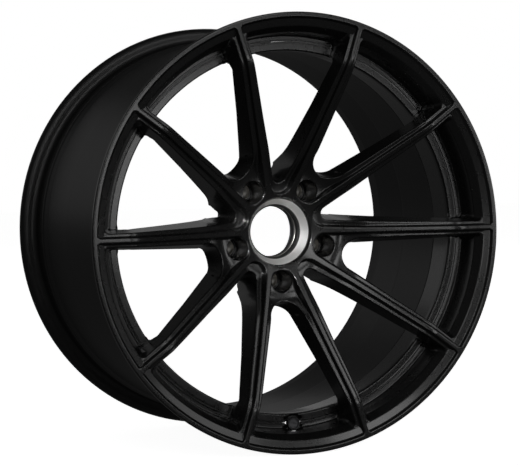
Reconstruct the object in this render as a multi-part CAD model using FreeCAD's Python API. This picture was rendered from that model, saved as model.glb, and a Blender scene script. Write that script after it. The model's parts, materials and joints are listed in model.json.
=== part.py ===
import FreeCAD, Part
import math
import os

# Forged racing wheel rim, 18 x 10.5 J, 5 x 114.3.
# Frame: wheel axis on Y, street face towards -Y, hub face towards +Y, Z up.
# The origin is on the axis, half way across the overall width.  Millimetres.

# ---- driving dimensions ---------------------------------------------------
BEAD_WIDTH = 266.7            # 10.5 in between the flange faces
FLANGE_THICK = 10.5           # one J flange, bead face to outer face
FLANGE_R = 248.3              # outside radius of the flanges
HALF_BEAD = BEAD_WIDTH / 2.0
HALF_WIDTH = HALF_BEAD + FLANGE_THICK
SPOKES = 10
PITCH = 360.0 / SPOKES

PAD_Y = -20.0                 # face that sits on the hub
PAD_R = 74.0
HUB_BORE_R = 36.55
HUB_RING_OUT_R = 39.3
HUB_RING_DEPTH = 20.0
BORE_RING_R = 38.2            # bare machined ring in the front of the bore
BORE_RING_Y = -71.2
BORE_RING_END_Y = -42.5
BORE_STEP_R = 32.0            # shoulder between the bore ring and the hub ring
ROUGH_BORE_R = 20.0           # bore of the blank before it is machined

LUG_COUNT = 5
LUG_PCD = 114.3
LUG_R = LUG_PCD / 2.0
LUG_FIRST_DEG = -90.0
LUG_POCKET_R = 12.6
LUG_SEAT_Y = -44.0
INSERT_R = 9.6
INSERT_BACK_Y = -24.0
STUD_HOLE_R = 7.25

LAND_SLOPE = 0.416            # the spoke face falls this much per mm towards the hub
LAND_REF_R = 100.0
LAND_REF_Y = -102.5
LAND_KINK_R = 199.4           # here the sloping spoke face meets the flat lip face
LAND_BEND_R = 60.0            # the bend between them
SHOULDER_Y = -138.6
FLOOR_BEND_R = 40.0           # bends along a pocket floor

RELIEF_Y = -40.5              # floor of the weight pockets between the lug holes
RELIEF_OFFSET = 10.0
RELIEF_NOSE = (66.0, 8.0)

LIP_IN_R = 243.0              # inner edge of the outer land
LEDGE_OUT_R = 240.8
LEDGE_OUT_Y = -140.6
LEDGE_IN_R = 233.1
LEDGE_IN_Y = -138.0
CONE_END_R = 226.6
CONE_END_Y = -128.8
WALL_END_R = 223.8
WELL_FACE_Y = -103.5          # front face of the drop centre wall
WELL_BACK_Y = -98.4
CREST_R = 206.8
CREST_Y = -97.0

JOINT_Y = -58.4               # butt joint of centre forging and barrel
JOINT_IN_R = 210.2
JOINT_OUT_R = 214.8
LAP_R = 212.6
LAP_LEN = 9.0
LAP_END_Y = JOINT_Y - LAP_LEN
GROOVE_R = LAP_R + 0.6         # bottom of the groove that the outer weld fills
GROOVE_HALF = 2.6
GROOVE_EDGE_R = JOINT_OUT_R - 0.6

VALVE_R = 218.6               # distance of the valve axis from the wheel axis
VALVE_HOLE_R = 6.0
SPOTFACE_R = 9.8
SPOTFACE_Y = -102.3

os.makedirs("parts", exist_ok=True)


# ---- small helpers --------------------------------------------------------
def vec(x, y, z):
    return FreeCAD.Vector(x, y, z)


AXIS = vec(0, 1, 0)
ORIGIN = vec(0, 0, 0)


def save(node, shape):
    if not shape.isValid():
        print("not valid:", node)
    shape.exportStep("parts/" + node + ".step")
    print(node, len(shape.Solids), round(shape.Volume / 1000.0, 2), "cm3")


def section_edges(points):
    """Closed (r, y) section.  An entry ("arc", (r, y), (r, y)) is a curve through
    its first point that ends at its second."""
    edges = []
    start = points[0]
    here = start
    for item in list(points[1:]) + [start]:
        if item[0] == "arc":
            mid, end = item[1], item[2]
            curve = Part.Arc(vec(here[0], here[1], 0), vec(mid[0], mid[1], 0),
                             vec(end[0], end[1], 0))
            edges.append(curve.toShape())
            here = end
        elif math.hypot(item[0] - here[0], item[1] - here[1]) > 1e-6:
            edges.append(Part.makeLine(vec(here[0], here[1], 0),
                                       vec(item[0], item[1], 0)))
            here = item
    return edges


def rounded(before, corner, after, radius):
    """Entries that replace a corner of a section by an arc tangent to both sides."""
    ax, ay = before[0] - corner[0], before[1] - corner[1]
    bx, by = after[0] - corner[0], after[1] - corner[1]
    a, b = math.hypot(ax, ay), math.hypot(bx, by)
    ax, ay, bx, by = ax / a, ay / a, bx / b, by / b
    half = math.acos(ax * bx + ay * by) / 2.0
    reach = radius / math.tan(half)
    mx, my = ax + bx, ay + by
    m = math.hypot(mx, my)
    rise = radius / math.sin(half) - radius
    start = (corner[0] + ax * reach, corner[1] + ay * reach)
    middle = (corner[0] + mx / m * rise, corner[1] + my / m * rise)
    end = (corner[0] + bx * reach, corner[1] + by * reach)
    return [start, ("arc", middle, end)]


def turned(points):
    """Solid of revolution about Y of a closed (r, y) section."""
    face = Part.Face(Part.Wire(section_edges(points)))
    return face.revolve(ORIGIN, AXIS, 360)


def about_axis(shape, deg):
    """Copy turned about the wheel axis; deg runs from +X towards +Z."""
    copy = shape.copy()
    copy.rotate(ORIGIN, AXIS, -deg)
    return copy


def polar(r, deg):
    a = math.radians(deg)
    return r * math.cos(a), r * math.sin(a)


def rod(radius, y0, y1, x=0.0, z=0.0):
    return Part.makeCylinder(radius, y1 - y0, vec(x, y0, z), AXIS)


def land_y(r):
    if r >= LAND_KINK_R:
        return -HALF_WIDTH
    return LAND_REF_Y - LAND_SLOPE * (r - LAND_REF_R)


# ---- window outlines ------------------------------------------------------
# A window is drawn in its own frame: u runs outwards along the middle of the
# window, v across it.  The spoke centre lines lie at +-18 degrees.
HALF_PITCH = math.radians(PITCH / 2.0)


def beside_spoke(r, offset):
    """Point at distance r along the spoke line, offset from it into the window."""
    c, s = math.cos(HALF_PITCH), math.sin(HALF_PITCH)
    return r * c + offset * s, r * s - offset * c


def tangent_point(centre_u, radius, point):
    """Where the line from point touches the nose circle, on its outer left side."""
    du = centre_u - point[0]
    dv = -point[1]
    dist = math.hypot(du, dv)
    heading = math.atan2(dv, du) - math.asin(radius / dist)
    along = math.sqrt(dist * dist - radius * radius)
    return point[0] + along * math.cos(heading), point[1] + along * math.sin(heading)


def outer_corner(p, q, outer_r, corner_r):
    """Round the corner of the line p-q with the circle outer_r about the axis.
    Gives the touch point on the line, a middle point and the touch on the circle."""
    du, dv = q[0] - p[0], q[1] - p[1]
    size = math.hypot(du, dv)
    du, dv = du / size, dv / size
    nu, nv = dv, -du
    bu, bv = p[0] + nu * corner_r, p[1] + nv * corner_r
    reach = outer_r - corner_r
    b = bu * du + bv * dv
    c = bu * bu + bv * bv - reach * reach
    t = -b + math.sqrt(b * b - c)
    cu, cv = bu + t * du, bv + t * dv
    on_line = (cu - nu * corner_r, cv - nv * corner_r)
    a = math.atan2(cv, cu)
    on_circle = (outer_r * math.cos(a), outer_r * math.sin(a))
    mu = (on_line[0] + on_circle[0]) / 2.0 - cu
    mv = (on_line[1] + on_circle[1]) / 2.0 - cv
    m = math.hypot(mu, mv)
    middle = (cu + mu / m * corner_r, cv + mv / m * corner_r)
    return on_line, middle, on_circle


def window_wire(nose_u, nose_r, side, outer_r, corner_r, y):
    """Closed outline at height y: round nose, straight sides, rounded outer end."""
    knee, far = side
    touch = tangent_point(nose_u, nose_r, knee)
    on_line, middle, on_circle = outer_corner(knee, far, outer_r, corner_r)

    def at(point, mirror=1.0):
        return vec(point[0], y, mirror * point[1])

    nose_tip = (nose_u - nose_r, 0.0)
    end_tip = (outer_r, 0.0)
    edges = [Part.Arc(at(touch, -1), at(nose_tip), at(touch)).toShape(),
             Part.makeLine(at(touch), at(knee)),
             Part.makeLine(at(knee), at(on_line)),
             Part.Arc(at(on_line), at(middle), at(on_circle)).toShape(),
             Part.Arc(at(on_circle), at(end_tip), at(on_circle, -1)).toShape(),
             Part.Arc(at(on_circle, -1), at(middle, -1), at(on_line, -1)).toShape(),
             Part.makeLine(at(on_line, -1), at(knee, -1)),
             Part.makeLine(at(knee, -1), at(touch, -1))]
    return Part.Wire(edges)


LAND_SIDE = (beside_spoke(108.0, 2.7), beside_spoke(235.0, 2.7))
LUG_NOSE = (57.15, 14.6)          # pocket nose around a lug hole
PLAIN_NOSE = (57.0, 13.5)         # pocket nose between two lug holes

# The windows proper have draft: each spoke is wider at its back than at its
# shoulder.  Sides are (distance along the spoke line, half width of the spoke),
# noses are (centre, radius); both are given at the shoulder and at the back.
SIDE_FRONT = ((112.0, 9.3), (200.0, 7.8))
SIDE_BACK = ((100.0, 16.0), (200.0, 11.1))
LUG_WINDOW = ((102.5, 22.1), (103.9, 16.1))
PLAIN_WINDOW = ((65.3, 8.4), (65.7, 0.8))


def pocket_space(floor):
    """Everything in front of a pocket floor given as (r, y) points."""
    points = [(15.0, floor[0][1]), floor[0]]
    for before, corner, after in zip(floor, floor[1:], floor[2:]):
        points += rounded(before, corner, after, FLOOR_BEND_R)
    points += [floor[-1], (LEDGE_IN_R, LEDGE_IN_Y), (LEDGE_OUT_R, LEDGE_OUT_Y)]
    points += [(LIP_IN_R, -HALF_WIDTH), (260.0, -HALF_WIDTH - 3.0), (260.0, -170.0)]
    points += [(15.0, -170.0)]
    return turned(points)


def pocket(nose, floor):
    outline = window_wire(nose[0], nose[1], LAND_SIDE, LIP_IN_R + 0.6, 6.0, -170.0)
    block = Part.Face(outline).extrude(vec(0, 170.0, 0))
    return block.common(pocket_space(floor))


LUG_FLOOR = [(30.0, -79.0), (76.0, -79.6), (101.0, -98.0), (LAND_KINK_R, SHOULDER_Y)]
PLAIN_FLOOR = [(30.0, -71.4), (57.0, -73.0), (98.0, -96.6), (LAND_KINK_R, SHOULDER_Y)]


# back of the hub and the spokes, as (r, y)
SPOKE_BACK = [(79.0, -36.0), (86.0, -49.0), (93.0, -59.7), (101.0, -66.8),
              (112.0, -73.0), (150.0, -93.3), (195.0, -113.6)]
LUG_ENDS = (84.0, 113.0)      # distances at which the nose depth is taken and the
PLAIN_ENDS = (63.0, 76.0)     # straight side begins
OPEN_FRONT_Y = -150.0         # the cutters start in front of everything
OPEN_BACK_Y = 6.0


def between(points, x):
    """Straight-line value at x of (x, value) points, held level past both ends."""
    if x <= points[0][0]:
        return points[0][1]
    for a, b in zip(points, points[1:]):
        if x <= b[0]:
            return a[1] + (b[1] - a[1]) * (x - a[0]) / (b[0] - a[0])
    return points[-1][1]


def along_line(ends, x):
    (xa, va), (xb, vb) = ends
    return va + (vb - va) * (x - xa) / (xb - xa)


def depth_share(r, y, floor):
    """0 on the shoulder, 1 at the back of the spoke."""
    front, back = between(floor, r), between(SPOKE_BACK, r)
    return min(1.0, max(0.0, (y - front) / (back - front)))


def where_at(points, y):
    """Distance r at which falling (r, y) points reach the height y."""
    flipped = sorted((-height, r) for r, height in points)
    return between(flipped, -y)


def window_level(window, floor, ends, outer_r, corner_r, y):
    """Outline of a drafted window at the height y."""
    share = depth_share(ends[0], y, floor)
    nose_u = window[0][0] + (window[1][0] - window[0][0]) * share
    nose_r = window[0][1] + (window[1][1] - window[0][1]) * share
    near = max(where_at(floor, y), ends[1])
    far = max(where_at(SPOKE_BACK, y), near + 20.0)
    sides = []
    for r in (near, far):
        part = depth_share(r, y, floor)
        width = along_line(SIDE_FRONT, r) * (1.0 - part) + along_line(SIDE_BACK, r) * part
        sides.append(beside_spoke(r, width))
    return window_wire(nose_u, nose_r, sides, outer_r, corner_r, y)


def through_hole(window, floor, ends):
    """Window proper: it narrows under the lip, then runs out behind the spokes."""
    under_lip = [(OPEN_FRONT_Y, LEDGE_IN_R), (LEDGE_IN_Y, LEDGE_IN_R),
                 (CONE_END_Y, CONE_END_R), (-116.0, 225.2), (WELL_FACE_Y, WALL_END_R)]
    upper = [window_level(window, floor, ends, r, 8.0, y) for y, r in under_lip]
    depths = [WELL_FACE_Y, -93.3, -84.0, -73.0, -62.0, -50.0, -38.0, OPEN_BACK_Y]
    lower = [window_level(window, floor, ends, CREST_R, 6.0, y) for y in depths]
    return Part.makeLoft(upper, True, True), Part.makeLoft(lower, True, True)


# ---- centre forging -------------------------------------------------------
def lip_section():
    """Flange, ledge, front bead seat and drop centre wall, as (r, y)."""
    front = -HALF_WIDTH
    seat = -HALF_BEAD
    return [(LIP_IN_R, front), ("arc", (LIP_IN_R - 1.6, -142.4), (LEDGE_OUT_R, LEDGE_OUT_Y)),
            (LEDGE_IN_R, LEDGE_IN_Y), (CONE_END_R, CONE_END_Y),
            (WALL_END_R, WELL_FACE_Y - 2.0),
            ("arc", (WALL_END_R - 0.6, WELL_FACE_Y - 0.6), (WALL_END_R - 2.0, WELL_FACE_Y)),
            (CREST_R + 3.0, WELL_FACE_Y),
            ("arc", (CREST_R + 0.6, WELL_FACE_Y + 2.0), (CREST_R, CREST_Y)),
            (JOINT_IN_R, JOINT_Y),
            (JOINT_IN_R + 1.2, JOINT_Y - 1.2),
            (JOINT_IN_R + 1.3, JOINT_Y), (LAP_R, JOINT_Y), (LAP_R, LAP_END_Y),
            (GROOVE_R, LAP_END_Y), (GROOVE_EDGE_R, LAP_END_Y - GROOVE_HALF),
            (CREST_R + 5.0, WELL_BACK_Y + 5.0),
            ("arc", (CREST_R + 6.3, WELL_BACK_Y + 1.4), (CREST_R + 9.6, WELL_BACK_Y)),
            (224.6, WELL_BACK_Y),
            ("arc", (227.6, WELL_BACK_Y - 1.6), (228.9, seat + 28.6)),
            ("arc", (230.4, seat + 24.0), (229.3, seat + 19.8)),
            (230.5, seat + 6.0),
            ("arc", (232.3, seat + 1.8), (236.4, seat)),
            (240.2, seat),
            ("arc", (245.9, seat - 2.5), (FLANGE_R, seat - 8.2)),
            (FLANGE_R, front + 1.6),
            ("arc", (FLANGE_R - 0.5, front + 0.5), (FLANGE_R - 1.7, front))]


def spoke_blank_section():
    """Hub and all ten spokes before the windows are cut, as (r, y)."""
    start = (ROUGH_BORE_R, land_y(ROUGH_BORE_R))
    kink = (LAND_KINK_R, -HALF_WIDTH)
    lip = (245.0, -HALF_WIDTH)
    return [start] + rounded(start, kink, lip, LAND_BEND_R) + [
            lip, (245.0, -141.5),
            (240.0, -137.2), (229.6, -128.0), (226.6, -118.0), (225.0, -101.0),
            (210.0, -101.0), (209.0, -97.0), (CREST_R, CREST_Y),
            ("arc", (204.8, -111.5), (198.5, -115.2))] + list(reversed(SPOKE_BACK)) + [
            (75.5, -24.0), (PAD_R, PAD_Y - 2.0), (PAD_R - 2.0, PAD_Y), (ROUGH_BORE_R, PAD_Y)]


def bore_cutter():
    return turned([(0.0, -120.0), (BORE_RING_R + 1.6, -120.0),
                   (BORE_RING_R + 1.6, land_y(BORE_RING_R)),
                   ("arc", (BORE_RING_R + 0.5, land_y(BORE_RING_R) + 1.4),
                    (BORE_RING_R, land_y(BORE_RING_R) + 3.0)),
                   (BORE_RING_R, BORE_RING_END_Y), (BORE_STEP_R, BORE_RING_END_Y),
                   (BORE_STEP_R, PAD_Y - HUB_RING_DEPTH),
                   (HUB_RING_OUT_R, PAD_Y - HUB_RING_DEPTH),
                   (HUB_RING_OUT_R, PAD_Y + 5.0), (0.0, PAD_Y + 5.0)])


def lug_cutter():
    """Counterbore, insert seat and stud clearance of one lug hole, on the X axis."""
    pocket_hole = rod(LUG_POCKET_R, -120.0, LUG_SEAT_Y, LUG_R)
    insert_hole = rod(INSERT_R, LUG_SEAT_Y - 1.0, INSERT_BACK_Y, LUG_R)
    stud_hole = rod(STUD_HOLE_R + 0.35, INSERT_BACK_Y - 1.0, PAD_Y + 5.0, LUG_R)
    return pocket_hole.fuse([insert_hole, stud_hole])


def relief_cutter():
    """Weight pocket in the back of the hub between two lug holes, open outwards."""
    sides = (beside_spoke(80.0, RELIEF_OFFSET), beside_spoke(140.0, RELIEF_OFFSET))
    outline = window_wire(RELIEF_NOSE[0], RELIEF_NOSE[1], sides, 110.0, 3.0, RELIEF_Y)
    return Part.Face(outline).extrude(vec(0, OPEN_BACK_Y - RELIEF_Y, 0))


def forged_centre():
    blank = turned(spoke_blank_section())
    tools = []
    lug_pocket = pocket(LUG_NOSE, LUG_FLOOR)
    plain_pocket = pocket(PLAIN_NOSE, PLAIN_FLOOR)
    lug_window = through_hole(LUG_WINDOW, LUG_FLOOR, LUG_ENDS)
    plain_window = through_hole(PLAIN_WINDOW, PLAIN_FLOOR, PLAIN_ENDS)
    for k in range(LUG_COUNT):
        at_lug = LUG_FIRST_DEG + 2 * PITCH * k
        between_lugs = at_lug + PITCH
        tools += [about_axis(s, at_lug) for s in (lug_pocket, lug_cutter(), *lug_window)]
        tools += [about_axis(s, between_lugs) for s in (plain_pocket, relief_cutter(),
                                                        *plain_window)]
    tools.append(bore_cutter())
    spokes = blank.cut(tools)
    body = turned(lip_section()).fuse(spokes)
    x, z = polar(VALVE_R, LUG_FIRST_DEG)
    spot = rod(SPOTFACE_R, WELL_FACE_Y - 14.0, SPOTFACE_Y, x, z)
    hole = rod(VALVE_HOLE_R, WELL_FACE_Y - 1.0, WELL_BACK_Y + 6.0, x, z)
    return body.cut([spot, hole]).removeSplitter()


# ---- barrel and its welds -------------------------------------------------
def rim_barrel():
    seat = HALF_BEAD
    back = HALF_WIDTH
    return turned([(JOINT_IN_R + 1.3, JOINT_Y), (JOINT_IN_R + 1.2, JOINT_Y + 1.2),
                   (JOINT_IN_R + 0.1, JOINT_Y + 1.3),
                   (217.7, 33.5), (218.2, 36.0), (221.1, 104.2), (224.2, 127.0),
                   ("arc", (226.4, 134.6), (230.4, 138.6)),
                   (240.4, 141.2), (243.0, back), (FLANGE_R - 1.7, back),
                   ("arc", (FLANGE_R - 0.5, back - 0.5), (FLANGE_R, back - 1.6)),
                   (FLANGE_R, seat + 8.2),
                   ("arc", (245.9, seat + 2.5), (240.2, seat)),
                   (236.4, seat),
                   ("arc", (232.3, seat - 1.8), (230.5, seat - 6.0)),
                   (229.3, seat - 19.8),
                   ("arc", (230.4, seat - 24.0), (228.9, seat - 28.6)),
                   (226.4, 96.0), (222.6, 36.0), (JOINT_OUT_R + 0.2, JOINT_Y + 2.6),
                   (GROOVE_EDGE_R, LAP_END_Y + GROOVE_HALF),
                   (GROOVE_R, LAP_END_Y), (LAP_R, LAP_END_Y),
                   (LAP_R, JOINT_Y)])


def outer_weld():
    """Crowned bead that fills the groove on the tyre side of the joint."""
    return turned([(GROOVE_R, LAP_END_Y), (GROOVE_EDGE_R, LAP_END_Y + GROOVE_HALF),
                   ("arc", (JOINT_OUT_R + 0.1, LAP_END_Y),
                    (GROOVE_EDGE_R, LAP_END_Y - GROOVE_HALF))])


def inner_weld():
    """Thin bead dressed almost flush inside the barrel."""
    return turned([(JOINT_IN_R, JOINT_Y), (JOINT_IN_R + 1.2, JOINT_Y - 1.2),
                   (JOINT_IN_R + 1.3, JOINT_Y), (JOINT_IN_R + 1.2, JOINT_Y + 1.2),
                   (JOINT_IN_R + 0.1, JOINT_Y + 1.3)])


# ---- hub rings and lug seats ----------------------------------------------
def centre_bore_ring():
    """Bare machined ring pressed into the front of the bore."""
    r = BORE_RING_R
    return turned([(r, BORE_RING_Y), (30.4, -59.9), ("arc", (30.0, -59.4), (29.9, -58.8)),
                   (29.9, -53.0), (31.2, -52.2), (31.2, -49.8), (29.2, -49.0),
                   (29.2, BORE_RING_END_Y), (r, BORE_RING_END_Y)])


def bore_snap_ring():
    """Open wire ring sprung into the groove of the bore ring."""
    wire_r = 0.85
    ring = Part.makeTorus(31.2 - wire_r, wire_r, ORIGIN, AXIS)
    ring.translate(vec(0, -51.0, 0))
    gap = Part.makeBox(5.0, 4.0, 4.0, vec(-2.5, -53.0, 28.5))
    return ring.cut(gap)


def hub_locating_ring():
    """Hub-centric ring pressed into the back of the bore."""
    front = PAD_Y - HUB_RING_DEPTH
    return turned([(HUB_BORE_R, front), (HUB_RING_OUT_R, front),
                   (HUB_RING_OUT_R, PAD_Y - 1.0), (HUB_RING_OUT_R - 0.6, PAD_Y - 0.4),
                   (HUB_BORE_R + 1.4, PAD_Y - 0.4), (HUB_BORE_R, PAD_Y - 1.8)])


def lug_seat_insert():
    """Steel insert with the 60 degree nut seat, on the X axis."""
    y0, y1 = LUG_SEAT_Y, INSERT_BACK_Y
    ring = turned([(STUD_HOLE_R, y0 + 3.0), (9.0, y0), (INSERT_R - 0.3, y0),
                   (INSERT_R, y0 + 0.3), (INSERT_R, y1), (STUD_HOLE_R, y1)])
    ring.translate(vec(LUG_R, 0, 0))
    return ring


# ---- valve ----------------------------------------------------------------
# A flush screw-in valve: its collar sits on a gasket in the spotface and its
# shank is threaded into the drop centre wall.
GASKET_THICK = 0.8
COLLAR_R = 7.7
COLLAR_BACK_Y = SPOTFACE_Y - GASKET_THICK
COLLAR_FRONT_Y = -106.0
RECESS_R = 5.4
RECESS_Y = -104.0
MOUTH_R = 3.4
CORE_R = 2.55
CORE_FRONT_Y = -100.2
CORE_SHOULDER_Y = -96.5
CORE_BACK_Y = -93.8
SHANK_BACK_Y = -97.0
TAIL_BACK_Y = -93.5
PIN_R = 0.95
PIN_HEAD_BACK_Y = -99.9
SLIDE_GAP = 0.06


def valve_piece(points):
    piece = turned(points)
    x, z = polar(VALVE_R, LUG_FIRST_DEG)
    piece.translate(vec(x, 0, z))
    return piece


def valve_body():
    """Collar, threaded shank and tail in one turned piece, with spanner notches."""
    body = valve_piece([(RECESS_R, COLLAR_FRONT_Y), (COLLAR_R - 0.6, COLLAR_FRONT_Y),
                        (COLLAR_R, COLLAR_FRONT_Y + 0.6), (COLLAR_R, COLLAR_BACK_Y),
                        (VALVE_HOLE_R, COLLAR_BACK_Y), (VALVE_HOLE_R, SHANK_BACK_Y),
                        (4.8, SHANK_BACK_Y), (4.8, TAIL_BACK_Y - 0.5),
                        (4.3, TAIL_BACK_Y), (CORE_R, TAIL_BACK_Y), (CORE_R, CORE_FRONT_Y - 0.2),
                        (MOUTH_R, CORE_FRONT_Y - 0.2), (MOUTH_R, RECESS_Y),
                        (RECESS_R, RECESS_Y)])
    x, z = polar(VALVE_R, LUG_FIRST_DEG)
    notches = []
    for k in range(4):
        notch = Part.makeBox(1.6, 1.2, 1.6, vec(-0.8, COLLAR_FRONT_Y - 0.2, COLLAR_R - 0.9))
        notch.rotate(ORIGIN, AXIS, 45 + 90 * k)
        notch.translate(vec(x, 0, z))
        notches.append(notch)
    return body.cut(notches)


def valve_gasket():
    return valve_piece([(VALVE_HOLE_R, COLLAR_BACK_Y), (7.4, COLLAR_BACK_Y),
                        (7.4, SPOTFACE_Y), (VALVE_HOLE_R, SPOTFACE_Y)])


def valve_core_housing():
    return valve_piece([(1.9, CORE_FRONT_Y), (CORE_R, CORE_FRONT_Y), (CORE_R, CORE_BACK_Y),
                        (PIN_R + 0.05, CORE_BACK_Y), (PIN_R + 0.05, CORE_SHOULDER_Y),
                        (1.9, CORE_SHOULDER_Y)])


def valve_core_spring():
    """Coil round the pin, between its head and the shoulder in the housing."""
    coil_r = 1.42
    wire_r = 0.2
    turns = 4.0
    front = PIN_HEAD_BACK_Y + wire_r + 0.02
    height = CORE_SHOULDER_Y - wire_r - 0.02 - front
    path = Part.makeHelix(height / turns, height, coil_r)
    profile = Part.Wire([Part.makeCircle(wire_r, vec(coil_r, 0, 0), vec(0, 1, 0.1))])
    coil = Part.Wire(path).makePipeShell([profile], True, True)
    coil.rotate(ORIGIN, vec(1, 0, 0), -90)
    x, z = polar(VALVE_R, LUG_FIRST_DEG)
    coil.translate(vec(x, front, z))
    return coil


def valve_core_pin():
    """Pin with a head for the spring and a disc that carries the seal."""
    return valve_piece([(0.0, -101.0), (0.7, -101.0), (PIN_R, -100.75),
                        (PIN_R, PIN_HEAD_BACK_Y - 0.4), (1.75, PIN_HEAD_BACK_Y - 0.4),
                        (1.75, PIN_HEAD_BACK_Y), (PIN_R, PIN_HEAD_BACK_Y),
                        (PIN_R, CORE_BACK_Y + 1.0), (2.2, CORE_BACK_Y + 1.0),
                        (2.2, CORE_BACK_Y + 2.0), (0.0, CORE_BACK_Y + 2.0)])


def valve_core_seal():
    """Rubber ring on the pin disc that closes on the end of the housing."""
    return valve_piece([(PIN_R, CORE_BACK_Y), (2.2, CORE_BACK_Y),
                        (2.2, CORE_BACK_Y + 1.0), (PIN_R, CORE_BACK_Y + 1.0)])


def valve_cap():
    """Plug cap: a disc sunk in the collar, with a grooved plug and a coin slot."""
    face = RECESS_Y - 1.0
    plug_r = MOUTH_R - SLIDE_GAP
    disc_r = RECESS_R - SLIDE_GAP
    cap = valve_piece([(0.0, face), (disc_r - 0.3, face), (disc_r, face + 0.3),
                       (disc_r, RECESS_Y - 0.05), (plug_r, RECESS_Y - 0.05),
                       (plug_r, RECESS_Y + 0.5), (2.6, RECESS_Y + 0.5),
                       (2.6, RECESS_Y + 1.5), (plug_r, RECESS_Y + 1.5),
                       (plug_r, RECESS_Y + 2.3), (0.0, RECESS_Y + 2.3)])
    x, z = polar(VALVE_R, LUG_FIRST_DEG)
    slot = Part.makeBox(5.6, 0.6, 1.0, vec(x - 2.8, face - 0.1, z - 0.5))
    return cap.cut(slot)


def valve_cap_seal():
    return valve_piece([(2.6, RECESS_Y + 0.5), (MOUTH_R - 0.03, RECESS_Y + 0.5),
                        (MOUTH_R - 0.03, RECESS_Y + 1.5), (2.6, RECESS_Y + 1.5)])


# ---- the assembly ---------------------------------------------------------
save("forged_centre", forged_centre())
save("rim_barrel", rim_barrel())
save("outer_weld", outer_weld())
save("inner_weld", inner_weld())
save("centre_bore_ring", centre_bore_ring())
save("bore_snap_ring", bore_snap_ring())
save("hub_locating_ring", hub_locating_ring())
for number in range(LUG_COUNT):
    turn = LUG_FIRST_DEG + 2 * PITCH * number
    save("lug_seat_insert_" + str(number + 1), about_axis(lug_seat_insert(), turn))
save("valve_body", valve_body())
save("valve_gasket", valve_gasket())
save("valve_core_housing", valve_core_housing())
save("valve_core_spring", valve_core_spring())
save("valve_core_pin", valve_core_pin())
save("valve_core_seal", valve_core_seal())
save("valve_cap", valve_cap())
save("valve_cap_seal", valve_cap_seal())
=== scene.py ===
import json
import math
import bmesh
import bpy
import numpy as np
from mathutils import Matrix, Vector

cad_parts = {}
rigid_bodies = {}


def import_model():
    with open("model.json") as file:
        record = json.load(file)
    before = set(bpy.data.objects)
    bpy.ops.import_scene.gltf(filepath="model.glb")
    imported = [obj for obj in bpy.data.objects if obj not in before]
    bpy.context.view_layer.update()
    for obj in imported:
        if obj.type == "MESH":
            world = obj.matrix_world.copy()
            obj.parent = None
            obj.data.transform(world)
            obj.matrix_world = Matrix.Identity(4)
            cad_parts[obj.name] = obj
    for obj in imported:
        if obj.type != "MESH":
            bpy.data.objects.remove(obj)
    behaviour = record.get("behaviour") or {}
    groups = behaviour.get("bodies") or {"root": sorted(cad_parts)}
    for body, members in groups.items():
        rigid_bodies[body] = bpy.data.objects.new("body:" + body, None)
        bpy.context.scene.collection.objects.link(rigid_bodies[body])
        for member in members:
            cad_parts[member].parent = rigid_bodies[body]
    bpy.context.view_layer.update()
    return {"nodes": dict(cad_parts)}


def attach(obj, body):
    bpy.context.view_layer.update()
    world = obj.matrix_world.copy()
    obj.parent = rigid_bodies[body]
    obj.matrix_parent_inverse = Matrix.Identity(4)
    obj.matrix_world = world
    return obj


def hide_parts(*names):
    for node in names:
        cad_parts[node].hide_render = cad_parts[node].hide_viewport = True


# Forged racing wheel rim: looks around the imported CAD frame.  Metres.
# Wheel axis on Y, street face towards -Y, Z up.

FLANGE_R = 0.2483
VALVE_AXIS = (0.0, -0.2186)    # x and z of the valve's axis
BARE_FROM_R = 0.0318           # the centre ring is bare metal outside this radius
BORE_RING_MIDDLE = (0.0, -0.065, 0.0)

CAMERA_AZIMUTH = -23.04        # degrees round Z from straight in front
CAMERA_HEIGHT_ANGLE = 2.54     # degrees above the wheel axis
CAMERA_ROLL = -1.05
CAMERA_DISTANCE = 2.190
CAMERA_AIM = (0.0073, 0.0, -0.0035)
LENS_MM = 127.0
SENSOR_MM = 36.0

FLOOR_R = 9.0
FLOOR_GAP = 0.0005             # the floor lies this far below the flanges
FILL_GREY = 0.04               # background as the wheel's surfaces see it


def clear_start_scene():
    for obj in list(bpy.data.objects):
        bpy.data.objects.remove(obj)


# ---- node helpers ---------------------------------------------------------
def new_material(name):
    mat = bpy.data.materials.new(name)
    mat.use_nodes = True
    tree = mat.node_tree
    tree.nodes.clear()
    out = tree.nodes.new("ShaderNodeOutputMaterial")
    shader = tree.nodes.new("ShaderNodeBsdfPrincipled")
    tree.links.new(shader.outputs[0], out.inputs[0])
    return mat, tree, shader


def node(tree, kind, **values):
    made = tree.nodes.new(kind)
    for key, value in values.items():
        setattr(made, key, value)
    return made


def noise(tree, vector, scale, detail=3.0, roughness=0.5):
    made = node(tree, "ShaderNodeTexNoise")
    made.inputs["Scale"].default_value = scale
    made.inputs["Detail"].default_value = detail
    made.inputs["Roughness"].default_value = roughness
    tree.links.new(vector, made.inputs["Vector"])
    return made.outputs["Fac"]


def remap(tree, value, low, high, from_low=0.0, from_high=1.0):
    made = node(tree, "ShaderNodeMapRange")
    made.inputs["From Min"].default_value = from_low
    made.inputs["From Max"].default_value = from_high
    made.inputs["To Min"].default_value = low
    made.inputs["To Max"].default_value = high
    tree.links.new(value, made.inputs["Value"])
    return made.outputs["Result"]


def math_node(tree, operation, a, b=None):
    made = node(tree, "ShaderNodeMath", operation=operation)
    for socket, value in zip(made.inputs, (a, b)):
        if value is None:
            continue
        if isinstance(value, (int, float)):
            socket.default_value = value
        else:
            tree.links.new(value, socket)
    return made.outputs[0]


def bump(tree, height, distance, strength=1.0):
    made = node(tree, "ShaderNodeBump")
    made.inputs["Strength"].default_value = strength
    made.inputs["Distance"].default_value = distance
    tree.links.new(height, made.inputs["Height"])
    return made.outputs["Normal"]


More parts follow.
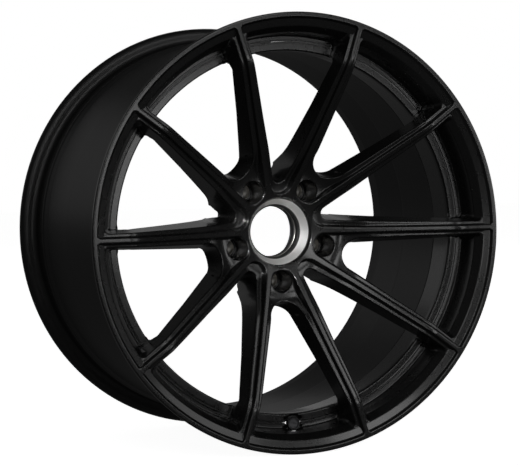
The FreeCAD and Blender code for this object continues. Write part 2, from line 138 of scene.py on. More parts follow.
def two_tone(tree, share, first, second):
    """Colour between first, where share is 0, and second, where it is 1."""
    made = node(tree, "ShaderNodeMix", data_type="RGBA")
    tree.links.new(share, made.inputs[0])
    for socket, colour in ((made.inputs[6], first), (made.inputs[7], second)):
        if isinstance(colour, tuple):
            socket.default_value = colour
        else:
            tree.links.new(colour, socket)
    return made.outputs[2]


def weighted(tree, a, share, b):
    """Mean of two values, with the given share of the first."""
    return math_node(tree, "ADD", math_node(tree, "MULTIPLY", a, share),
                     math_node(tree, "MULTIPLY", b, 1.0 - share))


def object_space(tree):
    return node(tree, "ShaderNodeTexCoord").outputs["Object"]


def turned_space(tree, space, centre=(0.0, 0.0)):
    """Distance from an axis along Y and the height along it."""
    split = node(tree, "ShaderNodeSeparateXYZ")
    tree.links.new(space, split.inputs[0])
    x = math_node(tree, "SUBTRACT", split.outputs["X"], centre[0])
    z = math_node(tree, "SUBTRACT", split.outputs["Z"], centre[1])
    xx = math_node(tree, "MULTIPLY", x, x)
    zz = math_node(tree, "MULTIPLY", z, z)
    r = math_node(tree, "SQRT", math_node(tree, "ADD", xx, zz))
    return r, split.outputs["Y"]


def lathe_lines(tree, space, scale, centre=(0.0, 0.0)):
    """Noise that only varies along the section, as fine turned grooves do."""
    r, y = turned_space(tree, space, centre)
    join = node(tree, "ShaderNodeCombineXYZ")
    tree.links.new(r, join.inputs["X"])
    tree.links.new(y, join.inputs["Y"])
    return noise(tree, join.outputs[0], scale, 4.0, 0.6)


def grey(value):
    return (value, value, value, 1.0)


# ---- centre forging with its rounded edges --------------------------------
# The same dimensions as the CAD forging, in millimetres, as a distance field in
# one 36 degree wedge: from the middle of a lug window to the middle of a plain one.
# Sides are two (distance along the spoke line, half width of the spoke) points, noses
# are (centre, radius), and floors and backs are (r, y) points. GRID_BACK is the back of the
# whole forging, roughly, for the grid that it is cut from.
HALF_WIDTH = 143.85
HALF_PITCH = math.radians(18.0)
MM_PER_M = 1000.0
WEDGES = 10
VALVE_WEDGES = (7, 8)          # the two halves of the lug window with the valve

LAND_SLOPE = 0.416             # the spoke face sinks this much per mm towards the hub
LAND_REF_R = 100.0
LAND_REF_Y = -102.5
LAND_BEND = 4.0
LAND_SIDE = ((108.0, 2.7), (235.0, 2.7))
LAND_END_R = 243.6

LUG_POCKET_NOSE = (57.15, 14.6)
PLAIN_POCKET_NOSE = (57.0, 13.5)
LUG_FLOOR = [(30, -79), (76, -79.6), (101, -98), (199.4, -138.6), (233, -138.0)]
PLAIN_FLOOR = [(30, -71.4), (57, -73), (98, -96.6), (199.4, -138.6), (233, -138.0)]
STEP_LEAN = 0.16               # draft of the step round each window

SIDE_FRONT = ((112.0, 9.3), (200.0, 7.8))           # window sides at the shoulder
SIDE_BACK_LUG = ((113.0, 15.4), (200.0, 11.1))      # and at the back of the spokes,
SIDE_BACK_PLAIN = ((100.0, 16.0), (200.0, 11.1))    # in a lug and in a plain window
LUG_WINDOW = ((102.5, 22.1), (103.9, 16.1))         # noses at the shoulder and the back
PLAIN_WINDOW = ((65.3, 8.4), (65.7, 0.8))
WINDOW_END = ([-150.0, -138.0, -128.8, -103.5, -103.4, -15.0],     # height y
              [233.5, 233.5, 227.0, 224.2, 207.2, 207.2])          # outer end r
SPOKE_BACK = [(79.0, -36.0), (86.0, -49.0), (93.0, -59.7), (101.0, -66.8),
              (112.0, -73.0), (150.0, -93.3), (195.0, -113.6)]
GRID_BACK = [(71, -20), (75, -24), (79, -36), (86, -49), (93, -60), (101, -67), (112, -73),
             (150, -93), (195, -114), (200, -115), (205, -111), (206, -57.5), (214, -57.5),
             (219, -97), (231, -98), (240, -132), (251, -134)]

RELIEF_Y = -40.5               # weight pockets behind the hub
RELIEF_NOSE = (66.0, 8.0)
RELIEF_SIDE = ((80.0, 10.0), (140.0, 10.0))
RELIEF_END_R = 110.0

BORE_R = 38.2
BORE_RING_END_Y = -42.5
PAD_Y = -20.0
LUG_R = 57.15
NUT_POCKET_R = 12.6
NUT_POCKET_Y = -44.0
INSERT_R = 9.6
INSERT_BACK_Y = -24.0
STUD_R = 7.6

FLANGE_OUT_R = 248.3
SEAT_Y = -133.35
WELL_FACE_Y = -103.5
WELL_BACK_Y = -98.4
JOINT_Y = -58.4
LAP_LENGTH = 9.0

VALVE_R = 218.6
SPOTFACE_R = 9.8
SPOTFACE_Y = -102.3
SPOTFACE_FRONT_Y = -117.0
VALVE_HOLE_R = 6.0
VALVE_HOLE_MIDDLE_Y = -100.0
VALVE_HOLE_HALF_LENGTH = 9.0

EDGE_R = 1.3                   # rounding of the land edges
SHOULDER_EDGE_R = 1.5
HOLE_EDGE_R = 1.0
VALVE_EDGE_R = 0.4
FILLET_R = 1.8                 # milling cutter corner at the foot of the step


def softer_max(a, b, blend):
    """Larger of two values, eased where they are within blend of each other."""
    h = np.maximum(blend - np.abs(a - b), 0.0) / blend
    return np.maximum(a, b) + h * h * blend / 4.0


def round_max(a, b, radius):
    """Intersection of two solids with its edge rounded."""
    corner = np.hypot(np.maximum(a + radius, 0.0), np.maximum(b + radius, 0.0))
    return np.minimum(np.maximum(a, b), -radius) + corner


def land_y(r):
    slope = LAND_REF_Y - LAND_SLOPE * (r - LAND_REF_R)
    return softer_max(slope, -HALF_WIDTH + 0.0 * r, LAND_BEND)


def eased(points, spread):
    """Height along the radius through (r, y) points, with its corners eased."""
    step = 0.5
    r = np.arange(20.0, 270.0, step)
    y = np.interp(r, [p[0] for p in points], [p[1] for p in points])
    half = int(3 * spread / step)
    kernel = np.exp(-0.5 * (np.arange(-half, half + 1) * step / spread) ** 2)
    kernel /= kernel.sum()
    padded = np.pad(y, half, mode="edge")
    return r, np.convolve(padded, kernel, mode="valid")


def filleted(points):
    """Closed outline of (r, y, radius) points with every corner rounded."""
    longest_reach = 0.48       # of the way to the next corner
    nearly_straight = 1.55     # half the corner's angle, in radians
    out = []
    count = len(points)
    for k in range(count):
        p = np.array(points[k][:2])
        radius = points[k][2]
        a = np.array(points[k - 1][:2]) - p
        b = np.array(points[(k + 1) % count][:2]) - p
        la, lb = np.linalg.norm(a), np.linalg.norm(b)
        a, b = a / la, b / lb
        half = math.acos(max(-1.0, min(1.0, float(a @ b)))) / 2.0
        reach = min(radius / math.tan(half), longest_reach * la, longest_reach * lb)
        if radius <= 0.0 or half > nearly_straight:
            out.append(p)
            continue
        start, end = p + a * reach, p + b * reach
        for t in np.linspace(0.0, 1.0, 7):
            out.append(start * (1 - t) ** 2 + p * 2 * t * (1 - t) + end * t * t)
    return np.array(out)


def polygon_distance(r, y, outline):
    """Distance to a closed outline, negative inside."""
    best = np.full(r.shape, 1e9)
    inside = np.zeros(r.shape, bool)
    for p, q in zip(outline, np.roll(outline, -1, axis=0)):
        d = q - p
        size = float(d @ d)
        if size < 1e-12:
            continue
        t = np.clip(((r - p[0]) * d[0] + (y - p[1]) * d[1]) / size, 0.0, 1.0)
        best = np.minimum(best, np.hypot(r - p[0] - t * d[0], y - p[1] - t * d[1]))
        crosses = (p[1] > y) != (q[1] > y)
        if abs(d[1]) > 1e-12:
            inside ^= crosses & (r < p[0] + (y - p[1]) * d[0] / d[1])
    return np.where(inside, -best, best)


class Section:
    """Distance to a turned section, looked up in a fine table."""

    def __init__(self, points, low=(30.0, -152.0), high=(256.0, -12.0), step=0.4):
        self.low, self.step = low, step
        self.shape = tuple(int((h - l) / step) + 1 for l, h in zip(low, high))
        r, y = np.meshgrid(low[0] + step * np.arange(self.shape[0]),
                           low[1] + step * np.arange(self.shape[1]), indexing="ij")
        self.table = polygon_distance(r, y, filleted(points))

    def __call__(self, r, y):
        a = np.clip((r - self.low[0]) / self.step, 0, self.shape[0] - 1.001)
        b = np.clip((y - self.low[1]) / self.step, 0, self.shape[1] - 1.001)
        i, j = a.astype(int), b.astype(int)
        a, b = a - i, b - j
        t = self.table
        return ((t[i, j] * (1 - a) + t[i + 1, j] * a) * (1 - b)
                + (t[i, j + 1] * (1 - a) + t[i + 1, j + 1] * a) * b)


def lip_section():
    """Flange, ledge, bead seat and drop centre wall, as (r, y, corner radius)."""
    front, seat, lap_end = -HALF_WIDTH, SEAT_Y, JOINT_Y - LAP_LENGTH
    return Section([(243.0, front, 1.2), (240.8, -140.7, 1.6), (233.1, -138.0, 2.2),
                    (226.6, -128.8, 3.0), (223.8, WELL_FACE_Y, 1.6), (206.8, WELL_FACE_Y, 3.6),
                    (206.8, -97.0, 0.8), (210.2, JOINT_Y, 0.0), (212.5, JOINT_Y, 0.0),
                    (212.5, lap_end, 0.3), (214.4, lap_end - 2.5, 0.8),
                    (211.8, WELL_BACK_Y, 5.0), (226.8, WELL_BACK_Y, 4.0),
                    (228.9, seat + 28.6, 3.0), (230.4, seat + 24.0, 4.0),
                    (229.3, seat + 19.8, 3.0), (230.5, seat + 1.0, 5.0), (243.4, seat, 6.0),
                    (FLANGE_OUT_R, seat - 5.0, 5.0), (FLANGE_OUT_R, front, 1.7)])


def hub_and_spoke_section():
    """Hub and spokes before the windows are cut, as (r, y, corner radius)."""
    points = [(BORE_R, -73.6, 0.6), (39.8, float(land_y(39.8)), 1.6)]
    points += [(r, float(land_y(r)), 0.0) for r in (186.0, 190.0, 194.0, 197.0, 200.0, 203.0,
                                                    206.0, 210.0)]
    points += [(245.0, -HALF_WIDTH, 0.0), (245.0, -141.5, 0.0), (240.0, -137.2, 0.0),
               (229.6, -128.0, 0.0), (226.6, -118.0, 0.0), (225.0, -101.0, 0.0),
               (210.0, -101.0, 0.0), (206.8, -97.0, 0.8), (205.8, -111.0, 3.0),
               (198.5, -115.2, 5.0)]
    points += [(r, y, 12.0) for r, y in reversed(SPOKE_BACK)]
    points += [(75.5, -24.0, 3.0), (71.5, PAD_Y, 2.0), (39.5, PAD_Y, 0.5),
               (39.5, PAD_Y - 20.0, 0.0), (32.0, PAD_Y - 20.0, 0.0),
               (32.0, BORE_RING_END_Y, 0.0), (BORE_R, BORE_RING_END_Y, 0.0)]
    return Section(points)


def beside_spoke(r, offset):
    """Point at distance r along the spoke line, offset from it into the window."""
    c, s = math.cos(HALF_PITCH), math.sin(HALF_PITCH)
    return np.array((r * c + offset * s, r * s - offset * c))


def side_and_nose(u, v, nose_u, nose_r, side):
    """Distance to the straight sides and round nose of a window, negative inside it."""
    knee, far = beside_spoke(*side[0]), beside_spoke(*side[1])
    du, dv = nose_u - knee[0], -knee[1]
    dist = math.hypot(du, dv)
    heading = math.atan2(dv, du) - math.asin(nose_r / dist)
    along = math.sqrt(dist * dist - nose_r * nose_r)
    touch = knee + along * np.array((math.cos(heading), math.sin(heading)))

    def beside(a, b):
        d = (b - a) / np.linalg.norm(b - a)
        return (v - a[1]) * d[0] - (u - a[0]) * d[1], (u - a[0]) * d[0] + (v - a[1]) * d[1]

    knee_blend = 1.0
    near_side, past_touch = beside(touch, knee)
    far_side, _ = beside(knee, far)
    nose = np.hypot(u - nose_u, v) - nose_r
    return np.where(past_touch < 0.0, nose, softer_max(near_side, far_side, knee_blend))


def pocket(r, u, v, y, nose, floor):
    """Room in front of the shoulder round a window, negative inside it."""
    corner_r = 6.0
    floor_tilt = 0.93          # the floors slope, so height overstates their distance
    outline = side_and_nose(u, v, *nose, LAND_SIDE)
    outline = outline + STEP_LEAN * np.maximum(y - land_y(r), -2.0)
    outline = round_max(outline, r - LAND_END_R, corner_r)
    depth = (y - np.interp(r, *floor)) * floor_tilt
    return round_max(outline, depth, FILLET_R)


def window(r, u, v, y, noses, side_back, floor):
    """The draft blends the outline at the shoulder into the one at the back."""
    corner_r = 7.0
    front, back = np.interp(r, *floor), np.interp(r, *zip(*SPOKE_BACK))
    share = np.clip((y - front) / (back - front), 0.0, 1.0)
    outline = side_and_nose(u, v, *noses[0], SIDE_FRONT) * (1.0 - share)
    outline = outline + side_and_nose(u, v, *noses[1], side_back) * share
    return round_max(outline, r - np.interp(y, *WINDOW_END), corner_r)


def relief_pocket(r, u, v, y):
    """Weight pocket in the back of the hub, in the middle of a plain window."""
    floor_corner_r, end_corner_r = 3.0, 1.0
    outline = side_and_nose(u, v, *RELIEF_NOSE, RELIEF_SIDE)
    outline = round_max(outline, RELIEF_Y - y, floor_corner_r)
    return round_max(outline, r - RELIEF_END_R, end_corner_r)


def nut_hole(u, v, y):
    """Counterbore, insert seat and stud clearance."""
    away = np.hypot(u - LUG_R, v)
    counterbore = np.maximum(away - NUT_POCKET_R, y - NUT_POCKET_Y)
    seat = np.maximum(away - INSERT_R, y - INSERT_BACK_Y)
    return np.minimum(np.minimum(counterbore, seat), away - STUD_R)


def valve_hole(u, v, y):
    """Spotface and hole through the drop centre wall."""
    away = np.hypot(u - VALVE_R, v)
    spot = np.maximum(np.maximum(away - SPOTFACE_R, y - SPOTFACE_Y), SPOTFACE_FRONT_Y - y)
    past_end = np.abs(y - VALVE_HOLE_MIDDLE_Y) - VALVE_HOLE_HALF_LENGTH
    through = np.maximum(away - VALVE_HOLE_R, past_end)
    return np.minimum(spot, through)


class Forging:
    """Distance to the forging's surface in one wedge, negative in the metal."""

    def __init__(self):
        self.lip = lip_section()
        self.blank = hub_and_spoke_section()
        self.lug_floor = eased(LUG_FLOOR, 6.0)
        self.plain_floor = eased(PLAIN_FLOOR, 5.0)

    def __call__(self, x, y, z, valve=False):
        """x along the spoke, z towards the lug window."""
        r = np.hypot(x, z)
        c, s = math.cos(HALF_PITCH), math.sin(HALF_PITCH)
        lug_u, lug_v = x * c + z * s, np.abs(x * s - z * c)
        plain_u, plain_v = x * c - z * s, np.abs(x * s + z * c)
        body = self.blank(r, y)
        lug_pocket = pocket(r, lug_u, lug_v, y, LUG_POCKET_NOSE, self.lug_floor)
        plain_pocket = pocket(r, plain_u, plain_v, y, PLAIN_POCKET_NOSE, self.plain_floor)
        body = round_max(body, -lug_pocket, EDGE_R)
        body = round_max(body, -plain_pocket, EDGE_R)
        lug_window = window(r, lug_u, lug_v, y, LUG_WINDOW, SIDE_BACK_LUG, self.lug_floor)
        plain_window = window(r, plain_u, plain_v, y, PLAIN_WINDOW, SIDE_BACK_PLAIN,
                              self.plain_floor)
        body = round_max(body, -lug_window, SHOULDER_EDGE_R)
        body = round_max(body, -plain_window, SHOULDER_EDGE_R)
        body = round_max(body, -relief_pocket(r, plain_u, plain_v, y), HOLE_EDGE_R)
        body = round_max(body, -nut_hole(lug_u, lug_v, y), HOLE_EDGE_R)
        lip = self.lip(r, y)
        if valve:
            hole = valve_hole(lug_u, lug_v, y)
            lip = round_max(lip, -hole, VALVE_EDGE_R)
            body = round_max(body, -hole, VALVE_EDGE_R)
        return np.minimum(body, lip)


def steps(*runs):
    """Joined (start, end, count) runs of even steps."""
    values = [runs[0][0]]
    for start, end, count in runs:
        values += list(np.linspace(start, end, count + 1)[1:])
    return np.array(values)


def wedge_grid():
    """Node positions of one wedge: across the spoke, along the radius, front to back."""
    rim_from, rim_blend = 196.0, 9.0
    spoke_band, hub_band = 17.5, 0.74      # half width in mm, or as a share of the wedge
    across = steps((-1.0, -0.5, 9), (-0.5, -0.15, 12), (-0.15, 0.15, 13), (0.15, 0.5, 12),
                   (0.5, 1.0, 9))
    radii = steps((35.4, 112.0, 52), (112.0, 196.0, 38), (196.0, 250.2, 44))
    spoke_depth = steps((-0.045, 0.20, 13), (0.20, 0.82, 17), (0.82, 1.05, 10))
    rim_depth = steps((-0.045, 0.16, 8), (0.16, 0.42, 9), (0.42, 0.60, 12), (0.60, 1.05, 11))
    rim_share = np.clip((radii - rim_from) / rim_blend, 0, 1)[:, None]
    depth = spoke_depth * (1 - rim_share) + rim_depth * rim_share
    front = land_y(radii)
    back = np.interp(radii, *zip(*GRID_BACK))
    band = np.minimum(spoke_band, hub_band * radii * math.sin(HALF_PITCH))
    inner = np.arcsin(band / radii)
    q, r = np.meshgrid(across, radii, indexing="ij")
    near = np.clip(np.abs(q) / 0.5, 0, 1)
    beyond = np.clip((np.abs(q) - 0.5) / 0.5, 0, 1)
    angle = np.sign(q) * (near * inner[None, :] * (beyond == 0)
                          + (beyond > 0) * (inner[None, :] + beyond * (HALF_PITCH - inner)[None, :]))
    x, z = r * np.cos(angle), r * np.sin(angle)
    y = front[:, None] + (back - front)[:, None] * depth
    shape = (len(across), len(radii), depth.shape[1])
    return np.stack([np.broadcast_to(x[:, :, None], shape),
                     np.broadcast_to(y[None, :, :], shape),
                     np.broadcast_to(z[:, :, None], shape)], axis=-1)


CUBE = [(a, b, c) for a in (0, 1) for b in (0, 1) for c in (0, 1)]
CUBE_EDGES = [(p, q) for p in range(8) for q in range(p + 1, 8)
              if sum(abs(i - j) for i, j in zip(CUBE[p], CUBE[q])) == 1]


def cell_points(points, field):
    """One point in each cell that the surface crosses: the mean of its edge crossings."""
    n = tuple(s - 1 for s in field.shape)
    corner_p = [points[a:a + n[0], b:b + n[1], c:c + n[2]] for a, b, c in CUBE]
    corner_f = [field[a:a + n[0], b:b + n[1], c:c + n[2]] for a, b, c in CUBE]
    total = np.zeros(n + (3,))
    count = np.zeros(n)
    for p, q in CUBE_EDGES:
        fp, fq = corner_f[p], corner_f[q]
        cut = (fp < 0) != (fq < 0)
        t = np.where(cut, fp / np.where(cut, fp - fq, 1.0), 0.0)[..., None]
        total += np.where(cut[..., None], corner_p[p] * (1 - t) + corner_p[q] * t, 0.0)
        count += cut
    active = count > 0
    where = np.argwhere(active)
    return where, total[active] / count[active][:, None]


def settle(solid, points, valve, rounds=6):
    """Moves points onto the surface along its slope; returns them and the outward normals."""
    probe = 0.05
    longest_step = 0.8
    longest_way = 1.6
    start = points.copy()
    for turn in range(rounds + 1):
        value = solid(points[:, 0], points[:, 1], points[:, 2], valve)
        slope = np.empty_like(points)
        for axis in range(3):
            ahead, behind = points.copy(), points.copy()
            ahead[:, axis] += probe
            behind[:, axis] -= probe
            slope[:, axis] = (solid(*ahead.T, valve) - solid(*behind.T, valve)) / (2 * probe)
        size = np.maximum((slope ** 2).sum(1), 0.05)
        if turn == rounds:
            break
        move = -(value / size)[:, None] * slope
        length = np.linalg.norm(move, axis=1, keepdims=True)
        points = points + move * np.minimum(1.0, longest_step / np.maximum(length, 1e-9))
        away = points - start
        length = np.linalg.norm(away, axis=1, keepdims=True)
        points = start + away * np.minimum(1.0, longest_way / np.maximum(length, 1e-9))
    normals = slope / np.maximum(np.linalg.norm(slope, axis=1, keepdims=True), 1e-9)
    return points, normals


def wedge_surface(solid, grid, valve):
    """One wedge: nodes in the metal, numbers of the cells, and their points and normals."""
    field = solid(*grid.reshape(-1, 3).T, valve).reshape(grid.shape[:3])
    where, middle = cell_points(grid, field)
    place, normal = settle(solid, middle, valve)
    table = np.full(tuple(s - 1 for s in field.shape), -1, int)
    table[tuple(where.T)] = np.arange(len(where))
    return field < 0, table, place, normal


def faces_across(near, far, cells):
    """A face through four cells for each grid edge that leaves the metal or enters it."""
    cut = near != far
    quad = np.stack(cells, -1)[cut]
    return np.where(near[cut][:, None], quad, quad[:, ::-1])


def forged_mesh():
    """The whole forging: ten wedges, every second one mirrored, joined cell to cell.

    Wedge 0 lies round +X, between a plain window and a lug one, and the valve is at -Z."""
    solid = Forging()
    grid = wedge_grid()
    plain = wedge_surface(solid, grid, False)
    with_valve = wedge_surface(solid, grid, True)
    inside, index, points, normals, offset = [], [], [], [], 0
    for wedge in range(WEDGES):
        metal, table, place, normal = with_valve if wedge in VALVE_WEDGES else plain
        if wedge % 2 == 0:
            metal, table = metal[::-1], table[::-1]
            place, normal = place * (1, 1, -1), normal * (1, 1, -1)
        middle_angle = math.radians(360.0 / WEDGES * wedge)
        c, s = math.cos(middle_angle), math.sin(middle_angle)
        turn = np.array(((c, 0, s), (0, 1, 0), (-s, 0, c)))
        points.append(place @ turn)
        normals.append(normal @ turn)
        inside.append(metal[:-1])
        index.append(np.where(table >= 0, table + offset, -1))
        offset += len(place)
    inside, index = np.concatenate(inside), np.concatenate(index)
    ahead, around = np.roll(inside, -1, axis=0), np.roll(index, 1, axis=0)
    by_angle = faces_across(inside[:, 1:-1, 1:-1], ahead[:, 1:-1, 1:-1],
                            (index[:, :-1, :-1], index[:, 1:, :-1],
                             index[:, 1:, 1:], index[:, :-1, 1:]))
    by_radius = faces_across(inside[:, :-1, 1:-1], inside[:, 1:, 1:-1],
                             (around[:, :, :-1], around[:, :, 1:],
                              index[:, :, 1:], index[:, :, :-1]))
    by_depth = faces_across(inside[:, 1:-1, :-1], inside[:, 1:-1, 1:],
                            (around[:, :-1], index[:, :-1], index[:, 1:], around[:, 1:]))
    faces = np.concatenate((by_angle, by_radius, by_depth))
    return np.concatenate(points) / MM_PER_M, np.concatenate(normals), faces


def forged_piece():
    """The forging as Blender shows it, in the place of its CAD node."""
    points, normals, faces = forged_mesh()
    mesh = bpy.data.meshes.new("forged_wheel_centre")
    mesh.vertices.add(len(points))
    mesh.vertices.foreach_set("co", points.astype(np.float32).ravel())
    mesh.loops.add(faces.size)
    mesh.loops.foreach_set("vertex_index", faces.astype(np.int32).ravel())
    mesh.polygons.add(len(faces))
    mesh.polygons.foreach_set("loop_start", (np.arange(len(faces)) * 4).astype(np.int32))
    mesh.update(calc_edges=True)
    mesh.validate()
    mesh.polygons.foreach_set("use_smooth", np.ones(len(mesh.polygons), bool))
    mesh.normals_split_custom_set_from_vertices(normals.astype(np.float32))
    obj = bpy.data.objects.new("forged_wheel_centre", mesh)
    bpy.context.collection.objects.link(obj)
    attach(obj, "rim")
    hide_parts("forged_centre")
    return obj


# ---- materials ------------------------------------------------------------
FINE_MARKS = 2600.0            # noise scale of a finishing cut
MARK_DEPTH = 0.000008


def paint(name, base, rough, peel, coat):
    """Black paint: slightly uneven film with orange peel under a clear coat."""
    mat, tree, shader = new_material(name)
    space = object_space(tree)
    cloud = noise(tree, space, 22.0, 3.0)
    colour = two_tone(tree, cloud, (base * 0.8, base * 0.8, base * 0.83, 1.0),
                      (base * 1.2, base * 1.19, base * 1.17, 1.0))
    tree.links.new(colour, shader.inputs["Base Color"])
    film = noise(tree, space, 90.0, 4.0)
    tree.links.new(remap(tree, film, rough * 0.85, rough * 1.15), shader.inputs["Roughness"])
    orange = noise(tree, space, 700.0, 1.5)
    normal = bump(tree, orange, peel)
    tree.links.new(normal, shader.inputs["Normal"])
    shader.inputs["IOR"].default_value = 1.5
    shader.inputs["Coat Weight"].default_value = coat
    shader.inputs["Coat Roughness"].default_value = 0.12
    tree.links.new(normal, shader.inputs["Coat Normal"])
    return mat


def barrel_paint(name):
    """Satin black over a spun surface: faint turning lines show through."""
    mat, tree, shader = new_material(name)
    space = object_space(tree)
    lines = lathe_lines(tree, space, 900.0)
    broad = lathe_lines(tree, space, 60.0)
    cloud = noise(tree, space, 14.0, 3.0)
    colour = two_tone(tree, weighted(tree, broad, 0.6, cloud),
                      (0.0055, 0.0055, 0.0058, 1.0), (0.0085, 0.0084, 0.0082, 1.0))
    tree.links.new(colour, shader.inputs["Base Color"])
    tree.links.new(remap(tree, lines, 0.36, 0.46), shader.inputs["Roughness"])
    tree.links.new(bump(tree, lines, 0.00001, 0.5), shader.inputs["Normal"])
    shader.inputs["Coat Weight"].default_value = 0.15
    shader.inputs["Coat Roughness"].default_value = 0.3
    return mat


def turned_metal(name, colour, rough, centre=(0.0, 0.0)):
    """Bare turned metal with concentric tool marks round centre."""
    mat, tree, shader = new_material(name)
    space = object_space(tree)
    fine = lathe_lines(tree, space, FINE_MARKS, centre)
    coarse = lathe_lines(tree, space, 420.0, centre)
    mixed = weighted(tree, fine, 0.6, coarse)
    darker = tuple(c * 0.8 for c in colour) + (1.0,)
    lighter = tuple(min(1.0, c * 1.12) for c in colour) + (1.0,)
    tree.links.new(two_tone(tree, mixed, darker, lighter), shader.inputs["Base Color"])
    shader.inputs["Metallic"].default_value = 1.0
    tree.links.new(remap(tree, mixed, rough * 0.8, rough * 1.3), shader.inputs["Roughness"])
    tree.links.new(bump(tree, mixed, MARK_DEPTH, 0.6), shader.inputs["Normal"])
    return mat


def ring_finish(name, bare_from):
    """Bare turned face outside the radius bare_from; the bore inside it is painted."""
    soft_edge = 0.00015
    mat, tree, shader = new_material(name)
    space = object_space(tree)
    r, _ = turned_space(tree, space)
    bare = remap(tree, r, 0.0, 1.0, bare_from - soft_edge, bare_from + soft_edge)
    lines = lathe_lines(tree, space, FINE_MARKS)
    metal = two_tone(tree, lines, (0.84, 0.84, 0.84, 1.0), (1.0, 0.99, 0.97, 1.0))
    tree.links.new(two_tone(tree, bare, grey(0.006), metal), shader.inputs["Base Color"])
    tree.links.new(bare, shader.inputs["Metallic"])
    tree.links.new(remap(tree, lines, 0.42, 0.56), shader.inputs["Roughness"])
    tree.links.new(bump(tree, lines, MARK_DEPTH, 0.6), shader.inputs["Normal"])
    return mat


def weld_finish(name, base):
    """Weld bead: overlapping ripples round the wheel under paint."""
    ripples = 520.0
    mat, tree, shader = new_material(name)
    space = object_space(tree)
    split = node(tree, "ShaderNodeSeparateXYZ")
    tree.links.new(space, split.inputs[0])
    angle = math_node(tree, "ARCTAN2", split.outputs["Z"], split.outputs["X"])
    wobble = math_node(tree, "MULTIPLY", noise(tree, space, 160.0, 2.0), 1.6)
    phase = math_node(tree, "ADD", math_node(tree, "MULTIPLY", angle, ripples), wobble)
    ripple = math_node(tree, "ABSOLUTE", math_node(tree, "SINE", phase))
    tree.links.new(bump(tree, ripple, 0.0003, 0.8), shader.inputs["Normal"])
    colour = two_tone(tree, ripple, grey(base * 0.7), grey(base * 1.3))
    tree.links.new(colour, shader.inputs["Base Color"])
    tree.links.new(remap(tree, ripple, 0.5, 0.36), shader.inputs["Roughness"])
    return mat


def rubber(name):
    """Black rubber with a fine matt grain."""
    mat, tree, shader = new_material(name)
    space = object_space(tree)
    grain = noise(tree, space, 1800.0, 4.0)
    colour = two_tone(tree, grain, grey(0.008), grey(0.018))
    tree.links.new(colour, shader.inputs["Base Color"])
    tree.links.new(remap(tree, grain, 0.55, 0.8), shader.inputs["Roughness"])
    tree.links.new(bump(tree, grain, 0.00003), shader.inputs["Normal"])
    return mat


def dress(frame, forging):
    """Gives every CAD node and the forging the look of its material slot."""
    looks = {
        "forging_black": paint("forging_gloss_black", 0.006, 0.28, 0.000002, 0.7),
        "barrel_black": barrel_paint("barrel_satin_black"),
        "weld": weld_finish("weld_ripples", 0.008),
        "weld_painted": weld_finish("dressed_weld", 0.006),
        "bare_aluminium": ring_finish("turned_aluminium", BARE_FROM_R),
        "spring_wire": turned_metal("spring_steel", (0.35, 0.34, 0.32), 0.3),
        "hub_ring": turned_metal("anodised_ring", (0.28, 0.29, 0.31), 0.34),
        "seat_steel": turned_metal("plated_seat_steel", (0.68, 0.66, 0.62), 0.36),
        "valve_metal": turned_metal("black_valve_metal", (0.06, 0.06, 0.062), 0.34, VALVE_AXIS),
        "valve_rubber": rubber("valve_rubber_black"),
        "valve_brass": turned_metal("valve_brass_turned", (0.72, 0.52, 0.22), 0.3, VALVE_AXIS),
        "valve_cap": turned_metal("valve_cap_grey", (0.11, 0.11, 0.115), 0.36, VALVE_AXIS),
    }
    forging.data.materials.append(looks["forging_black"])
    for obj in frame["nodes"].values():
        for place, mat in enumerate(obj.data.materials):
            obj.data.materials[place] = looks[mat.name.split(".")[0]]


# ---- stage ----------------------------------------------------------------
def floor():
    """Large pale disc under the wheel."""
    mesh = bpy.data.meshes.new("floor")
    grid = bmesh.new()
    bmesh.ops.create_circle(grid, cap_ends=True, segments=96, radius=FLOOR_R)
    grid.to_mesh(mesh)
    grid.free()
    obj = bpy.data.objects.new("floor", mesh)
    obj.location = (0, 0, -FLANGE_R - FLOOR_GAP)
    bpy.context.collection.objects.link(obj)
    mat, _, shader = new_material("pale_floor")
    shader.inputs["Base Color"].default_value = grey(0.93)
    shader.inputs["Roughness"].default_value = 0.8
    shader.inputs["Emission Color"].default_value = grey(1.0)
    shader.inputs["Emission Strength"].default_value = 0.95
    mesh.materials.append(mat)
    obj.visible_glossy = False
    obj.visible_diffuse = False


def aimed(name, light, place, aim):
    """Puts a light at place, shining towards aim."""
    obj = bpy.data.objects.new(name, light)
    obj.location = place
    way = Vector(aim) - Vector(place)
    obj.rotation_euler = way.to_track_quat("-Z", "Y").to_euler()
    bpy.context.collection.objects.link(obj)


def softbox(name, place, width, height, power):
    """Rectangular soft light aimed at the middle of the wheel."""
    light = bpy.data.lights.new(name, "AREA")
    light.shape = "RECTANGLE"
    light.size = width
    light.size_y = height
    light.energy = power
    aimed(name, light, place, (0, 0, 0))


def sky():
    """White background; only a dim grey of it lights the wheel."""
    world = bpy.data.worlds.new("studio")
    bpy.context.scene.world = world
    world.use_nodes = True
    tree = world.node_tree
    tree.nodes.clear()
    out = tree.nodes.new("ShaderNodeOutputWorld")
    seen = node(tree, "ShaderNodeBackground")
    seen.inputs["Color"].default_value = grey(1.0)
    fill = node(tree, "ShaderNodeBackground")
    fill.inputs["Color"].default_value = grey(FILL_GREY)
    path = node(tree, "ShaderNodeLightPath")
    mix = node(tree, "ShaderNodeMixShader")
    tree.links.new(path.outputs["Is Camera Ray"], mix.inputs[0])
    tree.links.new(fill.outputs[0], mix.inputs[1])
    tree.links.new(seen.outputs[0], mix.inputs[2])
    tree.links.new(mix.outputs[0], out.inputs[0])


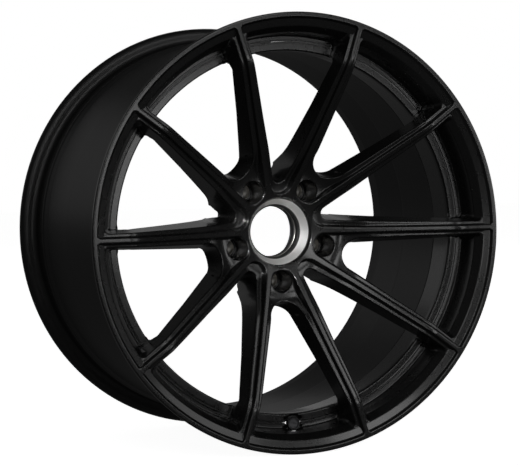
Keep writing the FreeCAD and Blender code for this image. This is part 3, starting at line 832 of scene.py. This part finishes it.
def hub_spot():
    """Narrow spot that reaches only the bare ring and the hub round it."""
    light = bpy.data.lights.new("hub_spot", "SPOT")
    light.energy = 620
    light.spot_size = math.radians(1.5)
    light.spot_blend = 0.15
    light.shadow_soft_size = 0.03
    aimed("hub_spot", light, (-2.34, -2.52, 1.08), BORE_RING_MIDDLE)


def lights():
    """Soft front lights, low and high, and weak ones above and behind."""
    softbox("front_left", (-0.86, -3.22, 1.35), 0.8, 1.4, 8.5)
    softbox("front_right", (0.86, -3.22, 1.35), 0.8, 1.4, 8)
    softbox("far_left", (-2.36, -2.36, 1.35), 0.8, 1.4, 3.6)
    softbox("far_right", (2.15, -2.56, 1.35), 0.8, 1.4, 4)
    softbox("low_left", (-0.66, -3.54, 0.05), 0.6, 0.5, 2.2)
    softbox("low_middle", (1.2, -3.4, 0.05), 0.8, 0.5, 3.2)
    softbox("low_right", (2.31, -2.76, 0.05), 0.9, 0.5, 3)
    softbox("top_front", (0.2, -1.8, 3.0), 1.8, 0.6, 1.2)
    softbox("rear_left", (-2.0, 3.4, 1.2), 3.0, 2.2, 3)
    softbox("rear_right", (2.3, 3.2, 1.2), 2.6, 2.2, 3)
    hub_spot()


def camera():
    """Camera on the street side, a little left of the wheel axis and turned slightly."""
    a = math.radians(CAMERA_AZIMUTH)
    e = math.radians(CAMERA_HEIGHT_ANGLE)
    back = Vector((math.sin(a) * math.cos(e), -math.cos(a) * math.cos(e), math.sin(e)))
    right = Vector((math.cos(a), math.sin(a), 0.0))
    up = back.cross(right)
    t = math.radians(CAMERA_ROLL)
    rolled_right = right * math.cos(t) + up * math.sin(t)
    rolled_up = up * math.cos(t) - right * math.sin(t)
    data = bpy.data.cameras.new("camera")
    data.sensor_width = SENSOR_MM
    data.lens = LENS_MM
    obj = bpy.data.objects.new("camera", data)
    turn = Matrix((rolled_right, rolled_up, back)).transposed().to_4x4()
    obj.matrix_world = Matrix.Translation(Vector(CAMERA_AIM) + back * CAMERA_DISTANCE) @ turn
    bpy.context.collection.objects.link(obj)
    bpy.context.scene.camera = obj


clear_start_scene()
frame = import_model()
camera()
sky()
lights()
floor()
forging = forged_piece()
dress(frame, forging)
bpy.context.scene.view_settings.view_transform = "Standard"
